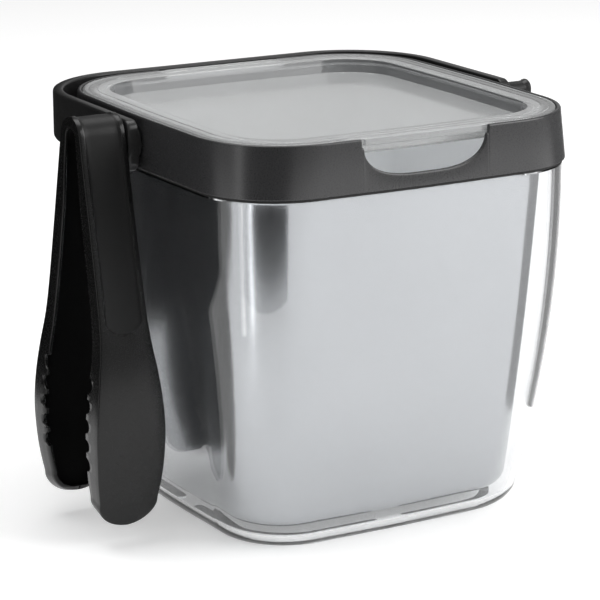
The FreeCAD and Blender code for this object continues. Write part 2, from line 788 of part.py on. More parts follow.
def make_tong_arm(name, side):
    """A channel-section arm that ends in a scooped jaw with a scalloped edge."""
    wide = "-(tong_x + jaw_half + 1)"
    width = "2 * (jaw_half + 1)"
    depth = "jaw_out + 1"
    back = f"{depth}" if side < 0 else "0"
    front_lift = "0" if side < 0 else f"-({depth})"
    blank = shared_solid(
        f"arm_blank_{name}",
        extruded_view(f"blank_side_{name}", "YZ_Plane", wide, side_view(side), width),
        extruded_view(f"blank_front_{name}", "XZ_Plane", front_lift, front_view("0", "bow_base"), depth))
    core = shared_solid(
        f"arm_core_{name}",
        extruded_view(f"core_side_{name}", "YZ_Plane", wide, side_core(side), width),
        extruded_view(f"core_front_{name}", "XZ_Plane", front_lift,
                      front_view("tong_skin", "channel_top"), depth))
    channel = doc.addObject("Part::Cut", f"arm_channel_{name}")
    channel.Base = blank
    channel.Tool = core
    scallops = []
    for index in range(int(number("tooth_count"))):
        scallops.append(make_cylinder(
            f"scallop_{name}_{index}", "tooth_radius", width, wide, f"{side} * tip_in",
            f"tooth_first + {index} * tooth_pitch"))
    cutter = doc.addObject("Part::Compound", f"scallops_{name}")
    cutter.Links = scallops
    arm = doc.addObject("Part::Cut", f"tong_arm_{name}")
    arm.Base = channel
    arm.Tool = cutter
    return arm


# ---------------------------------------------------------------- build, check and export

nodes = [make_outer_shell(), make_inner_liner(), make_rim_collar(), make_rim_gasket()]
nodes += make_feet()
nodes += [make_lid(), make_drain_tray(), make_bail_handle()]
for place, sign in SIDES.items():
    nodes.append(make_hanger_post(place, sign))
    nodes.append(make_washer(place, sign))
nodes += [make_post_screws(), make_tong_bow(), make_tong_arm("front", -1), make_tong_arm("rear", 1)]
doc.recompute()

for item in doc.Objects:
    if "Invalid" in item.State or "Error" in item.State:
        raise RuntimeError(f"{item.Label} did not build: {item.State}")
for node in nodes:
    if node.Shape.isNull() or not node.Shape.isValid() or not node.Shape.Solids:
        raise RuntimeError(f"{node.Label} has no valid solid")

os.makedirs("parts", exist_ok=True)
for node in nodes:
    node.Shape.exportStep(f"parts/{node.Label}.step")
    box = node.Shape.BoundBox
    print(f"{node.Label}: {len(node.Shape.Solids)} solid(s), {node.Shape.Volume / 1000:.2f} cm3, "
          f"x {box.XMin:.1f}..{box.XMax:.1f}, y {box.YMin:.1f}..{box.YMax:.1f}, "
          f"z {box.ZMin:.1f}..{box.ZMax:.1f}")
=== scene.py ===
import math

import bmesh
import bpy
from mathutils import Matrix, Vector


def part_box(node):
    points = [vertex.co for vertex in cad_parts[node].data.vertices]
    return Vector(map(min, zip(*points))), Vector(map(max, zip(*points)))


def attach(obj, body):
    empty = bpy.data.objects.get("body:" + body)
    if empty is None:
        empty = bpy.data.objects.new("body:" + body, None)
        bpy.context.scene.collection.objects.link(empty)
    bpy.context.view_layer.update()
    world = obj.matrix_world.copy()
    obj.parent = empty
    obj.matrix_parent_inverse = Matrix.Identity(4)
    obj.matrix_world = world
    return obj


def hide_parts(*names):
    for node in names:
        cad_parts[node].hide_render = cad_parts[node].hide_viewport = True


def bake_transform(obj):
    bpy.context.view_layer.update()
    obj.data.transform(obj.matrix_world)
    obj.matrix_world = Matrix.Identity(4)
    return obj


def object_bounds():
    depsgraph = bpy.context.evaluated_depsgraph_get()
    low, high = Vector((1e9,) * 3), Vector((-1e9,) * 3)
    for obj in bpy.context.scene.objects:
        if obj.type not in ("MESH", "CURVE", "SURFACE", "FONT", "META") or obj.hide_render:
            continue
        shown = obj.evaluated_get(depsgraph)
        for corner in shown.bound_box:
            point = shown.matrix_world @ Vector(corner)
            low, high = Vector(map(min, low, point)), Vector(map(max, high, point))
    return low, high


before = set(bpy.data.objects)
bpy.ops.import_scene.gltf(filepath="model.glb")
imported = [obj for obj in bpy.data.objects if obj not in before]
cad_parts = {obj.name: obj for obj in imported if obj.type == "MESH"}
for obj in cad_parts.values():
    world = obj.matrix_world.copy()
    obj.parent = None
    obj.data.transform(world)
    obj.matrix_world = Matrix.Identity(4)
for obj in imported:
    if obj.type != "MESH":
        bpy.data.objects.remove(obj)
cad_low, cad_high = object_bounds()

# The looks of an ice bucket: clear outer shell, brushed liner, black collar, translucent lid,
# folding bail handle and one pair of tongs on a side post. Outlines are worked out in
# millimetres from the CAD nodes' boxes, and turned into metres when a mesh is made.

MM = 0.001
CORNER_STEPS = 14
SIDE_STEPS = 12
ROUND_STEPS = 4
SMOOTH_ANGLE = math.radians(38)
SIDES = {"left": -1, "right": 1}


def extent(node):
    """Lowest and highest corner of a CAD node, in millimetres."""
    low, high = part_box(node)
    return low / MM, high / MM


# ---------------------------------------------------------------- outlines

def share(low, high, amount):
    return low + (high - low) * amount


def through(keys, place):
    """A smooth curve through (place, value) keys, sorted by place."""
    if place <= keys[0][0]:
        return keys[0][1]
    if place >= keys[-1][0]:
        return keys[-1][1]
    index = next(i for i in range(len(keys) - 1) if keys[i + 1][0] >= place)
    (start, low), (end, high) = keys[index], keys[index + 1]
    before = keys[max(index - 1, 0)]
    after = keys[min(index + 2, len(keys) - 1)]
    span = end - start
    slope_in = (high - before[1]) / (end - before[0]) * span
    slope_out = (after[1] - low) / (after[0] - start) * span
    t = (place - start) / span
    return ((2 * t ** 3 - 3 * t ** 2 + 1) * low + (t ** 3 - 2 * t ** 2 + t) * slope_in
            + (3 * t ** 2 - 2 * t ** 3) * high + (t ** 3 - t ** 2) * slope_out)


def soften(corners, closed=True):
    """A polygon of (x, y, radius) corners with its corners rounded."""
    count = len(corners)
    points = []
    for index, (x, y, radius) in enumerate(corners):
        here = Vector((x, y))
        at_end = not closed and index in (0, count - 1)
        if radius == 0 or at_end:
            points.append(here)
            continue
        before = Vector(corners[index - 1][:2]) - here
        after = Vector(corners[(index + 1) % count][:2]) - here
        reach = min(radius / math.tan(before.angle(after) / 2), before.length / 2, after.length / 2)
        start = here + before.normalized() * reach
        end = here + after.normalized() * reach
        for step in range(ROUND_STEPS + 1):
            t = step / ROUND_STEPS
            points.append(start * (1 - t) ** 2 + here * 2 * t * (1 - t) + end * t ** 2)
    return points


def even(reach, steps=SIDE_STEPS):
    """Positions strictly between -reach and reach."""
    return [share(-reach, reach, step / steps) for step in range(1, steps)]


def ring(half_x, half_y, corner, z, bow=0.0, front=None, rear=None):
    """A rounded rectangle at height z, whose sides swell by bow to half_x and half_y.
    front and rear give the x of the points along those two sides."""
    flat_x = half_x - bow - corner
    flat_y = half_y - bow - corner
    sides = [(1, 0, flat_x, flat_y, even(flat_y)), (0, 1, flat_x, flat_y, rear or even(flat_x)),
             (-1, 0, flat_x, flat_y, even(flat_y)), (0, -1, flat_x, flat_y, front or even(flat_x))]
    points = []
    for index, (out_x, out_y, reach_x, reach_y, places) in enumerate(sides):
        centre = Vector((reach_x * (out_x + out_y), reach_y * (out_y - out_x), 0))
        first = -90 + 90 * index
        for step in range(CORNER_STEPS + 1):
            angle = math.radians(first + 90 * step / CORNER_STEPS)
            points.append(centre + corner * Vector((math.cos(angle), math.sin(angle), 0)))
        reach = reach_y if out_x else reach_x
        wall = (half_x if out_x else half_y) - bow
        for place in sorted(places, reverse=(out_x < 0 or out_y > 0)):
            swell = bow * (1 - (place / reach) ** 2) ** 2
            if out_x:
                points.append(Vector((out_x * (wall + swell), place, 0)))
            else:
                points.append(Vector((place, out_y * (wall + swell), 0)))
    for point in points:
        point.z = z
    return points


# ---------------------------------------------------------------- meshes

def make_piece(name, mesh, materials, body, nodes=()):
    """Turns a bmesh in millimetres into a finished object that rides on a CAD body."""
    bmesh.ops.remove_doubles(mesh, verts=mesh.verts, dist=0.002)
    bmesh.ops.recalc_face_normals(mesh, faces=mesh.faces)
    bmesh.ops.scale(mesh, vec=(MM, MM, MM), verts=mesh.verts)
    for edge in mesh.edges:
        edge.smooth = len(edge.link_faces) == 2 and edge.calc_face_angle(0) < SMOOTH_ANGLE
    for face in mesh.faces:
        face.smooth = True
    data = bpy.data.meshes.new(name)
    mesh.to_mesh(data)
    mesh.free()
    piece = bpy.data.objects.new(name, data)
    bpy.context.scene.collection.objects.link(piece)
    for material in materials:
        data.materials.append(material)
    if body:
        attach(piece, body)
    if nodes:
        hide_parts(*nodes)
    return piece


def cap(mesh, loop, steps):
    """Closes a loop with rings that shrink to its middle."""
    centre = sum((vert.co for vert in loop), Vector()) / len(loop)
    outer = loop
    for step in range(1, steps):
        inner = [mesh.verts.new(vert.co.lerp(centre, step / steps)) for vert in loop]
        bridge(mesh, outer, inner)
        outer = inner
    middle = mesh.verts.new(centre)
    for index, vert in enumerate(outer):
        mesh.faces.new((vert, outer[(index + 1) % len(outer)], middle))


def bridge(mesh, first, second, material=0):
    count = len(first)
    for index in range(count):
        after = (index + 1) % count
        face = mesh.faces.new((first[index], first[after], second[after], second[index]))
        face.material_index = material


def skin(rings, wrap=False, cap_steps=1, picks=()):
    """A closed surface through equal rings. picks holds (first ring, last ring, material)."""
    mesh = bmesh.new()
    loops = [[mesh.verts.new(point) for point in points] for points in rings]
    for index in range(len(loops) - 1):
        material = next((m for low, high, m in picks if low <= index < high), 0)
        bridge(mesh, loops[index], loops[index + 1], material)
    if wrap:
        bridge(mesh, loops[-1], loops[0])
    else:
        cap(mesh, loops[0], cap_steps)
        cap(mesh, loops[-1], cap_steps)
    return mesh


def cut_holes(piece, cutters, operation="DIFFERENCE"):
    """Applies a boolean with each cutter, and removes the cutters."""
    for cutter in cutters:
        modifier = piece.modifiers.new("cut", "BOOLEAN")
        modifier.operation = operation
        modifier.solver = "EXACT"
        modifier.object = cutter
    bpy.context.view_layer.update()
    graph = bpy.context.evaluated_depsgraph_get()
    data = bpy.data.meshes.new_from_object(piece.evaluated_get(graph))
    piece.modifiers.clear()
    piece.data = data
    for cutter in cutters:
        bpy.data.objects.remove(cutter)
    mesh = bmesh.new()
    mesh.from_mesh(data)
    for edge in mesh.edges:
        edge.smooth = len(edge.link_faces) == 2 and edge.calc_face_angle(0) < SMOOTH_ANGLE
    mesh.to_mesh(data)
    mesh.free()


def cylinder_mesh(x_low, x_high, radius, z, steps=48):
    """A cylinder along X, through y = 0."""
    rings = []
    for x in (x_low, x_high):
        angles = [2 * math.pi * step / steps for step in range(steps)]
        rings.append([Vector((x, radius * math.cos(a), z + radius * math.sin(a))) for a in angles])
    return skin(rings)


# ---------------------------------------------------------------- materials

def new_material(name):
    material = bpy.data.materials.new(name)
    material.use_nodes = True
    shader = material.node_tree.nodes["Principled BSDF"]
    return material, material.node_tree, shader


def noise(tree, scale, detail=3.0, stretch=(1, 1, 1)):
    """Noise fixed to the object, as a 0..1 value."""
    place = tree.nodes.new("ShaderNodeTexCoord")
    mapping = tree.nodes.new("ShaderNodeMapping")
    mapping.inputs["Scale"].default_value = stretch
    texture = tree.nodes.new("ShaderNodeTexNoise")
    texture.inputs["Scale"].default_value = scale
    texture.inputs["Detail"].default_value = detail
    tree.links.new(place.outputs["Object"], mapping.inputs["Vector"])
    tree.links.new(mapping.outputs["Vector"], texture.inputs["Vector"])
    return texture.outputs["Fac"]


def spread(tree, value, low, high):
    """Maps a noise value to low..high."""
    node = tree.nodes.new("ShaderNodeMapRange")
    node.inputs["From Min"].default_value = 0.3
    node.inputs["From Max"].default_value = 0.7
    node.inputs["To Min"].default_value = low
    node.inputs["To Max"].default_value = high
    tree.links.new(value, node.inputs["Value"])
    return node.outputs["Result"]


def tint(tree, value, dark, light):
    """Mixes two colours by a noise value."""
    node = tree.nodes.new("ShaderNodeMix")
    node.data_type = "RGBA"
    node.inputs["A"].default_value = (*dark, 1)
    node.inputs["B"].default_value = (*light, 1)
    tree.links.new(value, node.inputs["Factor"])
    return node.outputs["Result"]


def bump(tree, shader, value, strength, distance):
    node = tree.nodes.new("ShaderNodeBump")
    node.inputs["Strength"].default_value = strength
    node.inputs["Distance"].default_value = distance
    tree.links.new(value, node.inputs["Height"])
    tree.links.new(node.outputs["Normal"], shader.inputs["Normal"])


def moulded_plastic(name, dark, light, smooth, rough, grain, grain_depth, gloss=0.5):
    """Solid moulded plastic with a fine spark-eroded grain."""
    material, tree, shader = new_material(name)
    fine = noise(tree, grain, 4.0)
    broad = noise(tree, 35.0)
    tree.links.new(tint(tree, broad, dark, light), shader.inputs["Base Color"])
    tree.links.new(spread(tree, fine, smooth, rough), shader.inputs["Roughness"])
    shader.inputs["IOR"].default_value = 1.5
    shader.inputs["Specular IOR Level"].default_value = gloss
    bump(tree, shader, fine, grain_depth, 0.0001)
    return material


def brushed_metal(name, dark, light, smooth, rough, metallic):
    """Satin metal brushed upright."""
    material, tree, shader = new_material(name)
    lines = noise(tree, 1100.0, 2.0, stretch=(1, 1, 0.01))
    clouds = noise(tree, 14.0)
    tree.links.new(tint(tree, lines, dark, light), shader.inputs["Base Color"])
    tree.links.new(spread(tree, clouds, smooth, rough), shader.inputs["Roughness"])
    shader.inputs["Metallic"].default_value = metallic
    return material


def let_light_through(material, tree, shader, clear):
    """Lets lamps shine through a clear piece, so that what it holds isn't in its shadow."""
    output = tree.nodes["Material Output"]
    path = tree.nodes.new("ShaderNodeLightPath")
    window = tree.nodes.new("ShaderNodeBsdfTransparent")
    window.inputs["Color"].default_value = (*clear, 1)
    mix = tree.nodes.new("ShaderNodeMixShader")
    tree.links.new(path.outputs["Is Shadow Ray"], mix.inputs["Fac"])
    tree.links.new(shader.outputs["BSDF"], mix.inputs[1])
    tree.links.new(window.outputs["BSDF"], mix.inputs[2])
    tree.links.new(mix.outputs["Shader"], output.inputs["Surface"])


def clear_plastic(name, dark, light, smooth, rough, transmission, ior, shadow):
    """Clear or translucent moulding with faint flow marks."""
    material, tree, shader = new_material(name)
    flow = noise(tree, 60.0, 2.0, stretch=(1, 1, 0.3))
    tree.links.new(tint(tree, flow, dark, light), shader.inputs["Base Color"])
    tree.links.new(spread(tree, flow, smooth, rough), shader.inputs["Roughness"])
    shader.inputs["Transmission Weight"].default_value = transmission
    shader.inputs["IOR"].default_value = ior
    let_light_through(material, tree, shader, shadow)
    return material


ACRYLIC = clear_plastic("clear_acrylic", (0.91, 0.915, 0.92), (0.93, 0.935, 0.94),
                        0.0, 0.02, 1.0, 1.47, (0.9, 0.91, 0.91))
FOOT_CLEAR = clear_plastic("clear_soft_foot", (0.80, 0.81, 0.82), (0.88, 0.89, 0.89),
                           0.12, 0.2, 0.9, 1.42, (0.8, 0.8, 0.8))
LID_SMOKE = clear_plastic("lid_translucent", (0.66, 0.67, 0.67), (0.70, 0.71, 0.71),
                          0.08, 0.13, 0.7, 1.47, (0.85, 0.85, 0.85))
# a darker, less clear copy of the lid plastic for the recess walls: painted shade in the lid's recess
LID_WALL_PAINTED_SHADE = clear_plastic("lid_wall_painted_shade", (0.26, 0.265, 0.27), (0.30, 0.305, 0.31),
                         0.08, 0.13, 0.5, 1.47, (0.7, 0.7, 0.7))
TRAY_GREY = clear_plastic("tray_translucent", (0.55, 0.56, 0.57), (0.62, 0.63, 0.64),
                          0.2, 0.3, 0.4, 1.46, (0.5, 0.5, 0.5))
LINER_METAL = brushed_metal("liner_brushed", (0.47, 0.48, 0.495), (0.49, 0.50, 0.515),
                            0.17, 0.21, 0.92)
# a much lighter, less metallic copy of the liner metal for its inner skin: painted light inside the
# bucket
LINER_INSIDE_PAINTED_LIGHT = brushed_metal("liner_inside_painted_light", (0.88, 0.89, 0.90), (0.92, 0.93, 0.94),
                             0.30, 0.36, 0.4)
SCREW_METAL = brushed_metal("screw_metal", (0.50, 0.50, 0.51), (0.58, 0.58, 0.59),
                            0.25, 0.35, 1.0)
COLLAR_BLACK = moulded_plastic("collar_black", (0.022, 0.022, 0.023), (0.027, 0.027, 0.028),
                               0.24, 0.34, 2600.0, 0.08, 0.6)
HANDLE_BLACK = moulded_plastic("handle_black", (0.010, 0.010, 0.010), (0.014, 0.014, 0.014),
                               0.26, 0.36, 2600.0, 0.10, 0.4)
TONG_SMOOTH = moulded_plastic("tong_smooth", (0.003, 0.003, 0.003), (0.005, 0.005, 0.005),
                              0.20, 0.30, 2400.0, 0.03, 0.35)
TONG_GRIP = moulded_plastic("tong_grip_grain", (0.006, 0.006, 0.006), (0.010, 0.010, 0.010),
                            0.36, 0.48, 1500.0, 0.30, 0.25)
# a darker, less shiny copy of the tong plastic for the channel's inside: painted shade in the channel
TONG_INSIDE_PAINTED_SHADE = moulded_plastic("tong_inside_painted_shade", (0.002, 0.002, 0.002), (0.003, 0.003, 0.003),
                              0.45, 0.60, 1500.0, 0.05, 0.08)
SEAL_BLACK = moulded_plastic("seal_black", (0.008, 0.008, 0.008), (0.012, 0.012, 0.012),
                             0.55, 0.75, 1200.0, 0.2)


# ---------------------------------------------------------------- vessel

SHELL_LOW, SHELL_HIGH = extent("outer_shell")
LINER_LOW, LINER_HIGH = extent("inner_liner")
COLLAR_LOW, COLLAR_HIGH = extent("rim_collar")
GASKET_LOW, GASKET_HIGH = extent("rim_gasket")
WALL_BOW = 1.0
WALL_STATIONS = 14
EXTRA_BASE = 1.0
EXTRA_TOP = 3.0

SHELL_PEAK = 150.0
SHELL_BOW = 0.000628
SHELL_WALL = 3.0
SHELL_FLOOR = 4.0
SHELL_ROUND = 8.6
SHELL_CORNERS = (34.0, 37.0)
SHELL_LIP = 0.5
SEAL_DROP = 0.6
SEAL_BOTTOM = GASKET_LOW.z - SEAL_DROP
SEAL_WIDTH = 2.2

LINER_PEAK = 280.6
LINER_PEAK_X = 82.61
LINER_BOW = 0.000164
LINER_WALL = 0.8
LINER_ROUND = 6.5
FLANGE_EDGE = 0.2
LINER_CORNERS = (27.0, 29.5)


def vessel_ring(z, inset, peak_x, peak, bow, corners, swell):
    """A level ring of a bowed vessel wall, moved inward by inset."""
    amount = z / SHELL_HIGH.z
    half_x = peak_x - bow * (peak - z) ** 2 - inset
    half_y = half_x + share(EXTRA_BASE, EXTRA_TOP, amount)
    return ring(half_x, half_y, share(*corners, amount) - inset, z, swell)


def shell_ring(z, inset):
    peak_x = SHELL_HIGH.x + SHELL_BOW * (SHELL_PEAK - SHELL_HIGH.z) ** 2
    return vessel_ring(z, inset, peak_x, SHELL_PEAK, SHELL_BOW, SHELL_CORNERS, WALL_BOW)


def liner_ring(z, inset):
    return vessel_ring(z, inset, LINER_PEAK_X, LINER_PEAK, LINER_BOW, LINER_CORNERS, WALL_BOW)


def quarter_round(radius, steps):
    """Rise and inset along a quarter round, from its flat end to its upright end."""
    angles = [math.pi / 2 * step / steps for step in range(steps)]
    return [(radius * (1 - math.cos(a)), radius * (1 - math.sin(a))) for a in angles]


def wall_rings(make_ring, base, top, radius, inset):
    """Rings of one skin of a vessel, from its flat bottom up to top."""
    rings = [make_ring(base + rise, inset + shrink) for rise, shrink in quarter_round(radius, 8)]
    for step in range(WALL_STATIONS + 1):
        rings.append(make_ring(share(base + radius, top, step / WALL_STATIONS), inset))
    return rings


def make_shell():
    """The clear wall and floor, rounded along the bottom and along its lip."""
    top = SEAL_BOTTOM
    outside = wall_rings(shell_ring, SHELL_LOW.z, top - SHELL_LIP, SHELL_ROUND, 0)
    lip = [shell_ring(top, SHELL_LIP), shell_ring(top, SHELL_WALL - SHELL_LIP)]
    inside = wall_rings(shell_ring, SHELL_LOW.z + SHELL_FLOOR, top - SHELL_LIP,
                        SHELL_ROUND - SHELL_WALL, SHELL_WALL)
    mesh = skin(outside + lip + inside[::-1], cap_steps=6)
    make_piece("outer_shell_clear", mesh, [ACRYLIC], "bucket", ["outer_shell"])


def make_liner():
    """The thin metal bowl, with a flange turned outward under the collar."""
    top = LINER_HIGH.z
    reach = LINER_HIGH.x - (LINER_PEAK_X - LINER_BOW * (LINER_PEAK - top) ** 2)
    outside = wall_rings(liner_ring, LINER_LOW.z, top - 3 * LINER_WALL, LINER_ROUND, 0)
    # the flange's section, as drop below the top and reach outward
    section = [(1.6 * LINER_WALL, 0.3), (LINER_WALL, 1.2), (LINER_WALL, reach - FLANGE_EDGE),
               (LINER_WALL / 2, reach), (0, reach - FLANGE_EDGE), (0, 0.9), (0.4, 0.1), (1.1, -0.5)]
    turned = [liner_ring(top - drop, -out) for drop, out in section]
    inside = wall_rings(liner_ring, LINER_LOW.z + LINER_WALL, top - 3 * LINER_WALL,
                        LINER_ROUND - LINER_WALL, LINER_WALL)
    # the inner skin takes the lighter copy of the liner metal, which paints light into the bucket's
    # inside
    inner_from = len(outside) + len(turned) - 1
    mesh = skin(outside + turned + inside[::-1], cap_steps=6,
                picks=[(inner_from, inner_from + len(inside), 1)])
    make_piece("inner_liner_brushed", mesh, [LINER_METAL, LINER_INSIDE_PAINTED_LIGHT], "bucket",
               ["inner_liner"])


# ---------------------------------------------------------------- collar and seal

COLLAR_BASE = GASKET_HIGH.z
COLLAR_TOP_X = 89.4
COLLAR_CORNERS = (37.5, 41.0)
RIM_WIDTH = 1.85
COLLAR_THICK = 8.5
LID_BOWL_DEPTH = 5.6
LID_SEAT = extent("lid")[0].z + LID_BOWL_DEPTH
COLLAR_UNDER = LINER_HIGH.z
TONGUE_OUTER = 4.4
TONGUE_INNER = 6.1
SLOT_HALF = 31.5
SLOT_FLOOR = 179.3
NOTCH_HALF = 30.4
NOTCH_DEPTH = 12.9
NOTCH_POWER = 3.3
NOTCH_STEPS = 36
SIDE_REACH = 40.0
THIN_FROM = 37.5
THIN_TO = 32.5
THIN_WALL = 2.0
NUDGE = 0.04


def collar_ring(z, inset, **sides):
    amount = (z - COLLAR_BASE) / (COLLAR_HIGH.z - COLLAR_BASE)
    half_x = share(COLLAR_HIGH.x, COLLAR_TOP_X, amount) - inset
    corner = share(*COLLAR_CORNERS, amount) - inset
    return ring(half_x, half_x + EXTRA_TOP, corner, z, WALL_BOW, **sides)


def rim_line(notched):
    """The collar's top edge seen from the front: (x, height) from left to right."""
    top = COLLAR_HIGH.z
    left = [(-SIDE_REACH, top, 0), (-THIN_FROM, top, 0), (-(THIN_FROM + THIN_TO) / 2, top, 0),
            (-THIN_TO, top, 0), (-SLOT_HALF - NUDGE, top, 0.6), (-SLOT_HALF, SLOT_FLOOR, 0.4)]
    if notched:
        left.append((-NOTCH_HALF - NUDGE, SLOT_FLOOR, 0.4))
        for step in range(1, NOTCH_STEPS):
            angle = math.pi * step / NOTCH_STEPS
            x = -NOTCH_HALF * math.copysign(abs(math.cos(angle)) ** (2 / NOTCH_POWER),
                                            math.cos(angle))
            left.append((x, SLOT_FLOOR - NOTCH_DEPTH * math.sin(angle), 0))
        left.append((NOTCH_HALF + NUDGE, SLOT_FLOOR, 0.4))
    right = [(SLOT_HALF, SLOT_FLOOR, 0.4), (SLOT_HALF + NUDGE, top, 0.6), (THIN_TO, top, 0),
             ((THIN_FROM + THIN_TO) / 2, top, 0), (THIN_FROM, top, 0), (SIDE_REACH, top, 0)]
    return soften(left + right, closed=False)


def make_collar():
    """The black rim: lid seat inside, finger notch in front, tab slots front and rear."""
    top, base = COLLAR_HIGH.z, COLLAR_BASE
    seat = LID_SEAT
    profile = soften([
        (0, base, 0.5), (0, top, 1.5), (RIM_WIDTH, top, 0.8), (RIM_WIDTH, seat, 0.4),
        (COLLAR_THICK, seat, 0.6), (COLLAR_THICK, COLLAR_UNDER, 0.3), (TONGUE_INNER, COLLAR_UNDER, 0),
        (TONGUE_INNER, COLLAR_LOW.z, 0.5), (TONGUE_OUTER, COLLAR_LOW.z, 0.5), (TONGUE_OUTER, base, 0),
    ])
    front, rear = rim_line(True), rim_line(False)
    front_x = [point.x for point in front]
    rear_x = [point.x for point in rear]
    rings = []
    for inset, height in profile:
        points = collar_ring(height, inset, front=front_x, rear=rear_x)
        for line, sign in ((front, -1), (rear, 1)):
            limits = {round(point.x, 4): point.y for point in line}
            for point in points:
                if point.y * sign < COLLAR_HIGH.y / 2 or abs(point.x) > SIDE_REACH:
                    continue
                limit = limits.get(round(point.x, 4))
                if limit is None:
                    continue
                if height > seat + 0.5 * (top - seat):
                    point.z = height - (top - limit)
                elif height > COLLAR_UNDER + 2:
                    point.z = min(height, limit - 0.3 - (seat - height) * 0.5)
                if sign < 0 and height >= COLLAR_UNDER - 0.5 and inset > THIN_WALL:
                    amount = (THIN_FROM - abs(point.x)) / (THIN_FROM - THIN_TO)
                    amount = min(max(amount, 0), 1)
                    point.y -= (inset - THIN_WALL) * amount * (0.9 + 0.01 * inset)
        rings.append(points)
    mesh = skin(rings, wrap=True)
    make_piece("rim_collar_moulding", mesh, [COLLAR_BLACK], "bucket", ["rim_collar"])


def make_gasket():
    """The thin black seal that shows as a dark line under the collar."""
    low, high = SEAL_BOTTOM, GASKET_HIGH.z
    inset = COLLAR_HIGH.x - GASKET_HIGH.x
    profile = soften([(inset, low, 0.2), (inset, high, 0.2), (inset + SEAL_WIDTH, high, 0.2),
                      (inset + SEAL_WIDTH, low, 0.2)])
    mesh = skin([collar_ring(z, n) for n, z in profile], wrap=True)
    make_piece("rim_gasket_ring", mesh, [SEAL_BLACK], "bucket", ["rim_gasket"])


# ---------------------------------------------------------------- feet

FOOT_WIDTH = 5.0
FOOT_CORNER = 30.0


def make_feet():
    """Four L-shaped pads with domed undersides, one round each corner of the base."""
    for depth, side_y in (("front", -1), ("rear", 1)):
        for width, side_x in SIDES.items():
            node = f"base_foot_{depth}_{width}"
            low, high = extent(node)
            reach_x, reach_y = max(abs(low.x), abs(high.x)), max(abs(low.y), abs(high.y))
            gap = min(abs(low.x), abs(high.x))
            half = FOOT_WIDTH / 2
            bend = FOOT_CORNER - half
            end = gap + half
            line = [Vector((end, reach_y - half))]
            for step in range(CORNER_STEPS + 1):
                angle = math.pi / 2 * (1 - step / CORNER_STEPS)
                line.append(Vector((reach_x - FOOT_CORNER + bend * math.cos(angle),
                                    reach_y - FOOT_CORNER + bend * math.sin(angle))))
            line.append(Vector((reach_x - half, end)))
            make_bead(node, line, half, low.z, high.z, Vector((side_x, side_y)))


def make_bead(node, line, half, low, high, flip):
    """A flat-topped, round-edged bead along a line, with round ends."""
    stations = []
    tangents = [(line[1] - line[0]).normalized()]
    tangents += [(line[i + 1] - line[i - 1]).normalized() for i in range(1, len(line) - 1)]
    tangents.append((line[-1] - line[-2]).normalized())
    for step in range(6):
        angle = math.pi / 2 * step / 6
        back = tangents[0] * (half * math.cos(angle))
        stations.append((line[0] - back, tangents[0], half * max(math.sin(angle), 0.04)))
    stations += [(point, tangent, half) for point, tangent in zip(line, tangents)]
    for step in range(5, -1, -1):
        angle = math.pi / 2 * step / 6
        ahead = tangents[-1] * (half * math.cos(angle))
        stations.append((line[-1] + ahead, tangents[-1], half * max(math.sin(angle), 0.04)))
    rings = []
    for point, tangent, width in stations:
        across = Vector((-tangent.y, tangent.x))
        profile = soften([(-width, high, 0), (-width, low, 0.5), (width, low, 0.5), (width, high, 0)])
        rings.append([Vector(((point.x + across.x * n) * flip.x, (point.y + across.y * n) * flip.y, z))
                      for n, z in profile])
    make_piece(f"{node}_pad", skin(rings), [FOOT_CLEAR], "bucket", [node])


# ---------------------------------------------------------------- lid

LID_LOW, LID_HIGH = extent("lid")
LID_CORNER = 38.2
LID_BOW = 0.8
LID_TAB_HALF = 29.2
LID_LEDGE = 12.3
BOWL_INSET = 9.8
PANEL_THICK = 2.5


def make_lid():
    """A translucent moulding: flat flange, sunk panel, and a lift tab front and rear."""
    top, under = LID_HIGH.z, LID_LOW.z
    floor = under + PANEL_THICK
    profile = soften([
        (LID_LEDGE + 1.4, floor, 0), (LID_LEDGE + 1.0, floor, 1.2), (LID_LEDGE, top, 0.9),
        (7.0, top, 0.2), (6.7, top - 0.3, 0.1), (6.4, top - 0.3, 0.1), (6.1, top, 0.2),
        (3.2, top, 0.25), (2.9, top - 0.35, 0.15), (2.4, top - 0.35, 0.15), (2.1, top, 0.25),
        (0, top, 0.7), (0, LID_SEAT, 0.5), (BOWL_INSET, LID_SEAT, 0.6), (BOWL_INSET, under, 1.6),
        (LID_LEDGE, under, 0),
    ], closed=False)
    rings = []
    for inset, z in profile:
        half_x = LID_HIGH.x - inset
        rings.append(ring(half_x, half_x + EXTRA_TOP, LID_CORNER - min(inset, LID_LEDGE), z, LID_BOW))
    # the recess wall and its rounds take the darker copy of the lid plastic, which paints the shade in
    # the recess
    mesh = skin(rings, cap_steps=8, picks=[(3, 3 + ROUND_STEPS, 1)])
    lid = make_piece("lid_moulding", mesh, [LID_SMOKE, LID_WALL_PAINTED_SHADE], "lid", ["lid"])
    tabs = []
    for sign in (-1, 1):
        near = sign * (LID_HIGH.x + EXTRA_TOP - 1.6)
        far = sign * LID_HIGH.y
        outline = soften([(-LID_TAB_HALF, near, 0), (LID_TAB_HALF, near, 0),
                          (LID_TAB_HALF, far, 0.9), (-LID_TAB_HALF, far, 0.9)])
        levels = [(LID_SEAT + 0.02, 0.4), (LID_SEAT + 0.4, 0), (top - 0.5, 0), (top - 0.02, 0.5)]
        rings = []
        for z, shrink in levels:
            rings.append([Vector((x * (1 - shrink / LID_TAB_HALF), y - sign * shrink, z))
                          for x, y in outline])
        tabs.append(make_piece("tab_tool", skin(rings), [LID_SMOKE], None))
    cut_holes(lid, tabs, "UNION")


# ---------------------------------------------------------------- bail handle and posts

HANDLE_LOW, HANDLE_HIGH = extent("bail_handle")
HANDLE_THICK = 4.8
HANDLE_CORNER = 46.0
HANDLE_END_ROUND = 4.5
PIVOT_Z = (HANDLE_LOW.z + HANDLE_HIGH.z) / 2
EYE_RADIUS = 4.05
JOURNAL_GAP = 0.05
SHANK_RADIUS = 3.0
POST_LENGTH = 28.4
POST_WIDTH = 3.9
POST_HEIGHT = 7.6
POST_GAP = 0.25


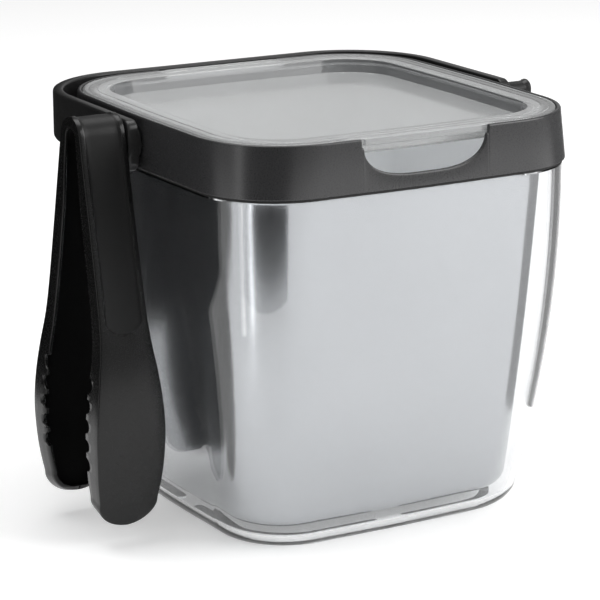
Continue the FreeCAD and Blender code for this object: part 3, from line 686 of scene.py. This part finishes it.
def handle_path():
    """The band's outer face seen from above, with its outward direction, and the end's shrink."""
    half_x, back = HANDLE_HIGH.x, HANDLE_HIGH.y
    flat_x, flat_y = half_x - HANDLE_CORNER, back - HANDLE_CORNER
    front = HANDLE_LOW.y
    arm = []
    for step in range(9):
        angle = math.pi / 2 * step / 8
        arm.append((front + HANDLE_END_ROUND * (1 - math.cos(angle)),
                    HANDLE_END_ROUND * (1 - math.sin(angle))))
    for step in range(1, 11):
        arm.append((share(front + HANDLE_END_ROUND, flat_y, step / 10), 0))
    right = [(Vector((half_x, y)), Vector((1, 0)), drop) for y, drop in arm]
    for step in range(1, 2 * CORNER_STEPS + 1):
        angle = math.pi / 2 * step / (2 * CORNER_STEPS)
        out = Vector((math.cos(angle), math.sin(angle)))
        right.append((Vector((flat_x, flat_y)) + out * HANDLE_CORNER, out, 0))
    middle = [(Vector((x, back)), Vector((0, 1)), 0) for x in reversed(even(flat_x))]
    left = [(Vector((-p.x, p.y)), Vector((-n.x, n.y)), drop) for p, n, drop in reversed(right)]
    return right + middle + left


def make_handle():
    """A flat band folded back round the collar, with rounded ends and two pivot eyes."""
    low, high = HANDLE_LOW.z, HANDLE_HIGH.z
    rings = []
    for point, out, drop in handle_path():
        profile = soften([(0, high - drop, 1.3), (-HANDLE_THICK, high - drop, 0.9),
                          (-HANDLE_THICK, low + drop, 0.9), (0, low + drop, 2.4)])
        rings.append([Vector((point.x + out.x * n, point.y + out.y * n, z)) for n, z in profile])
    handle = make_piece("bail_handle_band", skin(rings), [HANDLE_BLACK], "handle",
                        ["bail_handle"])
    reach = HANDLE_HIGH.x + 2
    cutters = []
    for side in SIDES.values():
        inner, outer = sorted((side * (HANDLE_HIGH.x - 2 * HANDLE_THICK), side * reach))
        cutters.append(make_piece("eye_tool", cylinder_mesh(inner, outer, EYE_RADIUS, PIVOT_Z),
                                  [HANDLE_BLACK], None))
    cut_holes(handle, cutters)


def obround_ring(x, half_width, half_height, steps=40):
    """An upright slot shape across the pivot axis, at x."""
    straight = half_height - half_width
    points = []
    for step in range(steps):
        angle = 2 * math.pi * (step + 0.5) / steps
        rise = math.copysign(straight, math.sin(angle))
        points.append(Vector((x, half_width * math.cos(angle),
                              PIVOT_Z + rise + half_width * math.sin(angle))))
    return points


def make_posts():
    """Pivot posts: a round journal through the handle, then a flat tongue with a raised tip."""
    for name, side in SIDES.items():
        node = f"hanger_post_{name}"
        low, high = extent(node)
        tip = max(abs(low.x), abs(high.x))
        root = HANDLE_HIGH.x + POST_GAP
        journal = EYE_RADIUS - JOURNAL_GAP
        lip = (high.z - low.z) / 2
        shoulder = COLLAR_HIGH.x
        stations = [
            (tip - POST_LENGTH, SHANK_RADIUS, SHANK_RADIUS), (shoulder + 0.1, SHANK_RADIUS, SHANK_RADIUS),
            (shoulder + 0.15, journal, journal), (root - 0.02, journal, journal), (root, 3.4, 7.1),
            (root + 0.5, POST_WIDTH, POST_HEIGHT), (root + 1.5, POST_WIDTH, POST_HEIGHT),
            (tip - 4.0, POST_WIDTH, POST_HEIGHT), (tip - 2.6, 4.0, 7.75),
            (tip - 1.9, 4.25, lip - 0.08), (tip - 1.2, 4.3, lip), (tip - 0.6, 4.2, lip - 0.12),
            (tip - 0.2, 3.8, lip - 0.5), (tip, 3.2, lip - 1.1),
        ]
        rings = [obround_ring(side * x, width, height) for x, width, height in stations]
        make_piece(f"{node}_moulding", skin(rings), [HANDLE_BLACK], "bucket", [node])


# ---------------------------------------------------------------- tongs

ARM_LOW = extent("tong_arm_rear")[0]
BOW_LOW, BOW_HIGH = extent("tong_bow")
TONG_X = (BOW_LOW.x + BOW_HIGH.x) / 2
BOW_RADIUS = 9.8
BOW_CENTRE_Z = BOW_HIGH.z - BOW_RADIUS
KNEE = Vector((28.4, 92.0))
JAW = Vector((33.0, 58.0))
TIP = Vector((26.5, ARM_LOW.z))
JAW_CURVE = 189.0
TIP_CURVE = 146.6
TIP_HALF = 14.2
TIP_RISE = 12.0
TIP_POWER = 2.2
TIP_SKIN = 1.8
# half width, depth of the side flanges, skin thickness and crown of the outer face, by height
HALF_WIDTH = [(20, 13.9), (30, 15.3), (42, 16.15), (53, 16.35), (66, 15.5), (79, 13.9),
              (92, 12.1), (105, 11.4), (130, 11.1), (170, 11.0)]
FLANGE_DEPTH = [(TIP.y, 4.5), (12, 8.2), (20, 11.4), (34, 12.8), (52, 13.0), (70, 12.0), (84, 9.8),
                (98, 8.7), (130, 8.4), (150, 7.8), (166, 6.0), (178, 5.1)]
SKIN = [(20, 2.0), (150, 2.2), (164, 3.4), (176, 4.6)]
CROWN = [(10, 0.7), (30, 0.8), (60, 0.7), (84, 0.4), (100, 0.2), (178, 0.15)]
EDGE_ROUND = 0.75
TEETH = 5
TOOTH_FIRST = 36.0
TOOTH_PITCH = 9.5
SCALLOP = 3.3
PANEL_END = 95.0
PANEL_ROUND = 9.0
PANEL_BORDER = 2.5
PANEL_DEPTH = 0.55
PANEL_SLOPE = 0.55
PANEL_MARGIN = 0.6
LIP_ROUND = 0.6
LEAST_HALF = 0.08
LEAST_INNER = 0.03
TIP_CLOSING = 3
SPLIT_Z = 171.0
# distance between sections, by the height below which it holds
SECTION_STEPS = [(TIP.y + 3, 0.16), (TIP.y + 10, 0.5), (TOOTH_FIRST + TEETH * TOOTH_PITCH, 0.55),
                 (PANEL_END + PANEL_ROUND + 2, 0.5), (BOW_CENTRE_Z, 1.6)]
BOW_STEP = 0.6


def arc_points(start, end, radius, steps):
    """Points of the arc from start to end that bulges away from the tongs' middle."""
    chord = end - start
    rise = math.sqrt(radius ** 2 - (chord.length / 2) ** 2)
    inward = Vector((chord.y, -chord.x)).normalized()
    centre = (start + end) / 2 + inward * rise
    first = math.atan2(start.y - centre.y, start.x - centre.x)
    last = math.atan2(end.y - centre.y, end.x - centre.x)
    return [centre + radius * Vector((math.cos(a), math.sin(a)))
            for a in (share(first, last, step / steps) for step in range(1, steps + 1))]


def arm_line():
    """The outer face of an arm seen along X, from the top of the bow to the tip: (y, z)."""
    lean = math.atan2(KNEE.x - BOW_RADIUS, BOW_CENTRE_Z - KNEE.y)
    points = []
    for step in range(25):
        angle = (math.pi / 2 - lean) * step / 24
        points.append(Vector((BOW_RADIUS * math.sin(angle),
                              BOW_CENTRE_Z + BOW_RADIUS * math.cos(angle))))
    start = points[-1]
    points += [start.lerp(KNEE, step / 60) for step in range(1, 61)]
    points += arc_points(KNEE, JAW, JAW_CURVE, 50)
    points += arc_points(JAW, TIP, TIP_CURVE, 80)
    return points


def spaced(points, spacing):
    """Points along a line whose gaps follow spacing(z)."""
    result = [points[0]]
    left = spacing(points[0].y)
    for start, end in zip(points, points[1:]):
        span = (end - start).length
        done = 0.0
        while span - done >= left:
            done += left
            result.append(start.lerp(end, done / span))
            left = spacing(result[-1].y)
        left -= span - done
    return result


def tong_spacing(z):
    return next((step for height, step in SECTION_STEPS if z < height), BOW_STEP)


def scallop_depth(z):
    """How far a scallop cuts into the flange's edge at height z."""
    nearest = min(max(round((z - TOOTH_FIRST) / TOOTH_PITCH), 0), TEETH - 1)
    away = z - TOOTH_FIRST - nearest * TOOTH_PITCH
    return math.sqrt(max(SCALLOP ** 2 - away ** 2, 0))


def round_tip(z, inset):
    """Half width that the rounded tip leaves at height z."""
    rise = (z - TIP.y - inset) / (TIP_RISE - inset)
    if rise <= 0:
        return 0.0
    if rise >= 1:
        return math.inf
    return (TIP_HALF - inset) * (1 - (1 - rise) ** TIP_POWER) ** (1 / TIP_POWER)


def half_section(z):
    """Half of the channel's section at height z: (across, inward), from the middle outward."""
    width = max(min(through(HALF_WIDTH, z), round_tip(z, 0) + LEAST_HALF), LEAST_HALF)
    inner = max(min(through(HALF_WIDTH, z) - TIP_SKIN, round_tip(z, TIP_SKIN)), LEAST_INNER)
    inner = min(inner, width - 0.04)
    depth = through(FLANGE_DEPTH, z) - scallop_depth(z) * (z > TOOTH_FIRST - SCALLOP)
    crown = through(CROWN, z) * min(1, width / 10)
    closing = min(1, max(0, (inner - LEAST_INNER) / TIP_CLOSING))
    skin_depth = share(depth - 0.05, crown + through(SKIN, z), closing)
    skin_depth = min(skin_depth, depth - 0.05)
    small = min(1.0, width / 4)
    panel_half = through(HALF_WIDTH, z) - PANEL_BORDER
    if z < PANEL_END + PANEL_ROUND:
        rise = max(z - PANEL_END, 0) / PANEL_ROUND
        panel_half *= math.sqrt(max(1 - (1 - rise) ** 2, 0))
    sunk = PANEL_DEPTH if panel_half > 0.5 else 0.0
    panel_half = min(max(panel_half, 0.25 * small), width * 0.7)
    rim = min(panel_half + PANEL_SLOPE, width * 0.85)

    def face(across, sink=0.0):
        return across, crown * (across / width) ** 2 + sink

    points = [face(0, sunk), face(panel_half * 0.35, sunk), face(panel_half * 0.7, sunk),
              face(panel_half * 0.93, sunk), face(panel_half, sunk * 0.8), face(rim, sunk * 0.06)]
    bend = EDGE_ROUND * small
    edge = width - bend
    points += [face(share(rim, edge, 0.3)), face(share(rim, edge, 0.7)), face(edge)]
    for step in range(1, 5):
        angle = math.pi / 2 * step / 4
        points.append((edge + bend * math.sin(angle),
                       face(edge)[1] + bend * (1 - math.cos(angle))))
    side = points[-1][1]
    wall = (width - inner) / 2
    lip = depth - LIP_ROUND
    points += [(width, share(side, lip, 0.35)), (width, share(side, lip, 0.7)),
               (width, depth - LIP_ROUND * small), (width - wall * 0.3, depth - 0.15 * small),
               (width - wall * 0.8, depth), (inner + wall * 0.7, depth),
               (inner + wall * 0.15, depth - 0.3 * small), (inner, depth - 0.7 * small)]
    floor = min(skin_depth + 1.2 * small, depth - 0.75 * small)
    points += [(inner, share(depth - 0.7 * small, floor, 0.5)), (inner, floor),
               (inner * 0.96, share(floor, skin_depth, 0.7)), (inner * 0.86, skin_depth),
               (inner * 0.5, skin_depth), (0, skin_depth)]
    return points


PANEL_POINTS = 5
INSIDE_POINTS = 20


def section_ring(point, inward, z, side):
    """The channel's whole section, closed, at a point of the arm's line."""
    half = half_section(z)
    whole = [(across, depth) for across, depth in half]
    whole += [(-across, depth) for across, depth in reversed(half[1:-1])]
    ring_points = []
    for across, depth in whole:
        place = point + inward * depth
        ring_points.append(Vector((TONG_X + across, side * place.x, place.y)))
    return ring_points


def arm_sections(side):
    """Sections with their heights, from the top of the bow to the tip of one arm."""
    line = spaced(arm_line(), tong_spacing)
    sections = []
    for index, point in enumerate(line):
        ahead = line[min(index + 1, len(line) - 1)] - line[max(index - 1, 0)]
        along = Vector((1, 0)) if index == 0 else ahead.normalized()
        inward = Vector((along.y, -along.x))
        sections.append((point.y, section_ring(point, inward, point.y, side)))
    return sections


def grip_faces(mesh, rings, heights):
    """Gives the sunk grip panel its grained material, and the channel's inside a darker, less shiny copy
    of the plastic as painted shade.
    """
    per_ring = len(rings[0])
    mesh.faces.ensure_lookup_table()
    for index in range(len(rings) - 1):
        for step in range(per_ring):
            face = mesh.faces[index * per_ring + step]
            outward = min(step, per_ring - 1 - step)
            if outward >= INSIDE_POINTS:
                face.material_index = 2
            elif outward < PANEL_POINTS and heights[index] > PANEL_END + PANEL_MARGIN:
                face.material_index = 1


def make_tongs():
    """One hairpin moulding: a bow, and two channel arms that flex where they leave it."""
    rear, front = arm_sections(1), arm_sections(-1)
    split = max(index for index, (z, points) in enumerate(rear) if z >= SPLIT_Z)
    crest = front[split:0:-1] + rear[:split + 1]
    materials = [TONG_SMOOTH, TONG_GRIP, TONG_INSIDE_PAINTED_SHADE]
    rings = [points for z, points in crest]
    mesh = skin(rings)
    grip_faces(mesh, rings, [z for z, points in crest])
    make_piece("tong_bow_moulding", mesh, materials, "tongs", ["tong_bow"])
    for name, side, sections in (("front", -1, front), ("rear", 1, rear)):
        arm = sections[split:]
        rings = [points for z, points in arm]
        mesh = skin(rings)
        grip_faces(mesh, rings, [z for z, points in arm])
        piece = make_piece(f"tong_arm_{name}_moulding", mesh, materials, None,
                           [f"tong_arm_{name}"])
        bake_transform(piece)


# ---------------------------------------------------------------- CAD nodes that stay

def dress_cad_nodes():
    """Gives the carried CAD nodes their materials."""
    looks = {"drain_tray": TRAY_GREY, "base_foot_centre": FOOT_CLEAR, "post_screws": SCREW_METAL,
             "spacer_washer_left": SEAL_BLACK, "spacer_washer_right": SEAL_BLACK}
    for node, material in looks.items():
        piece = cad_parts[node]
        piece.data.materials.clear()
        piece.data.materials.append(material)


# ---------------------------------------------------------------- studio

CAMERA_AZIMUTH = math.radians(-30.08)
CAMERA_ELEVATION = math.radians(15.36)
CAMERA_DISTANCE = 1.18961
CAMERA_AIM = Vector((-0.00776, 0, 0.08976))
SENSOR = 36.0
LENS = 157.6
FLOOR_HALF = 6.0


def make_camera():
    data = bpy.data.cameras.new("camera")
    data.sensor_width = SENSOR
    data.lens = LENS
    camera = bpy.data.objects.new("camera", data)
    level = math.cos(CAMERA_ELEVATION)
    back = Vector((math.sin(CAMERA_AZIMUTH) * level, -math.cos(CAMERA_AZIMUTH) * level,
                   math.sin(CAMERA_ELEVATION)))
    camera.location = CAMERA_AIM + back * CAMERA_DISTANCE
    camera.rotation_euler = (-back).to_track_quat("-Z", "Y").to_euler()
    bpy.context.scene.collection.objects.link(camera)
    bpy.context.scene.camera = camera


def make_floor():
    material, tree, shader = new_material("studio_floor")
    cloud = noise(tree, 0.6)
    tree.links.new(tint(tree, cloud, (0.92, 0.92, 0.92), (0.94, 0.94, 0.94)),
                   shader.inputs["Base Color"])
    shader.inputs["Roughness"].default_value = 0.9
    shader.inputs["Specular IOR Level"].default_value = 0.1
    shader.inputs["Emission Color"].default_value = (1, 1, 1, 1)
    shader.inputs["Emission Strength"].default_value = 0.3
    data = bpy.data.meshes.new("studio_floor")
    half = FLOOR_HALF
    data.from_pydata([(-half, -half, 0), (half, -half, 0), (half, half, 0), (-half, half, 0)], [],
                     [(0, 1, 2, 3)])
    data.materials.append(material)
    floor = bpy.data.objects.new("studio_floor", data)
    bpy.context.scene.collection.objects.link(floor)


def make_flag(name, centre, facing, width, height, tone):
    """A dark card out of the camera's sight, which darkens what shiny faces mirror on its side."""
    material, tree, shader = new_material(name)
    cloud = noise(tree, 2.0)
    tree.links.new(tint(tree, cloud, (tone, tone, tone), (1.2 * tone, 1.2 * tone, 1.2 * tone)),
                   shader.inputs["Base Color"])
    shader.inputs["Roughness"].default_value = 1.0
    shader.inputs["Specular IOR Level"].default_value = 0.0
    data = bpy.data.meshes.new(name)
    x, y = width / 2, height / 2
    data.from_pydata([(-x, -y, 0), (x, -y, 0), (x, y, 0), (-x, y, 0)], [], [(0, 1, 2, 3)])
    data.materials.append(material)
    flag = bpy.data.objects.new(name, data)
    flag.location = centre
    flag.rotation_euler = Vector(facing).to_track_quat("Z", "Y").to_euler()
    flag.visible_camera = False
    flag.visible_shadow = False
    flag.visible_diffuse = False
    bpy.context.scene.collection.objects.link(flag)


def make_softbox(name, place, target, size, power):
    data = bpy.data.lights.new(name, "AREA")
    data.shape = "RECTANGLE"
    data.size, data.size_y = size
    data.energy = power
    light = bpy.data.objects.new(name, data)
    light.location = place
    light.rotation_euler = (Vector(place) - Vector(target)).to_track_quat("Z", "Y").to_euler()
    bpy.context.scene.collection.objects.link(light)


def make_world():
    world = bpy.data.worlds.new("studio")
    world.use_nodes = True
    tree = world.node_tree
    background = tree.nodes["Background"]
    path = tree.nodes.new("ShaderNodeLightPath")
    seen = tree.nodes.new("ShaderNodeMath")
    seen.operation = "MAXIMUM"
    tree.links.new(path.outputs["Is Camera Ray"], seen.inputs[0])
    tree.links.new(path.outputs["Is Transmission Ray"], seen.inputs[1])
    brightness = tree.nodes.new("ShaderNodeMapRange")
    brightness.inputs["To Min"].default_value = 0.4
    brightness.inputs["To Max"].default_value = 1.0
    tree.links.new(seen.outputs["Value"], brightness.inputs["Value"])
    tree.links.new(brightness.outputs["Result"], background.inputs["Strength"])
    background.inputs["Color"].default_value = (1, 1, 1, 1)
    bpy.context.scene.world = world


def make_studio():
    make_camera()
    make_world()
    make_floor()
    middle = (cad_low + cad_high) / 2
    make_softbox("key_softbox", (1.0, -0.9, 0.9), middle, (1.2, 1.1), 16)
    make_softbox("top_softbox", (0.0, 0.3, 1.6), middle, (1.6, 1.0), 15)
    make_softbox("edge_strip", (-0.25, -0.12, 0.16), (-0.1, -0.03, 0.14), (0.02, 0.3), 0.06)
    make_flag("rear_left_flag", (-0.2, 0.22, 0.28), (0.5, -0.85, 0.0), 0.6, 0.56, 0.02)
    make_flag("front_left_flag", (-0.26, -0.26, 0.2), (0.65, 0.76, 0.0), 0.36, 0.4, 0.02)
    make_flag("right_flag", (0.17, -0.05, 0.15), (-1.0, 0.0, 0.0), 0.1, 0.3, 0.35)
    bpy.context.scene.view_settings.view_transform = "Standard"


make_studio()
make_shell()
make_liner()
make_collar()
make_gasket()
make_feet()
make_lid()
make_handle()
make_posts()
make_tongs()
dress_cad_nodes()
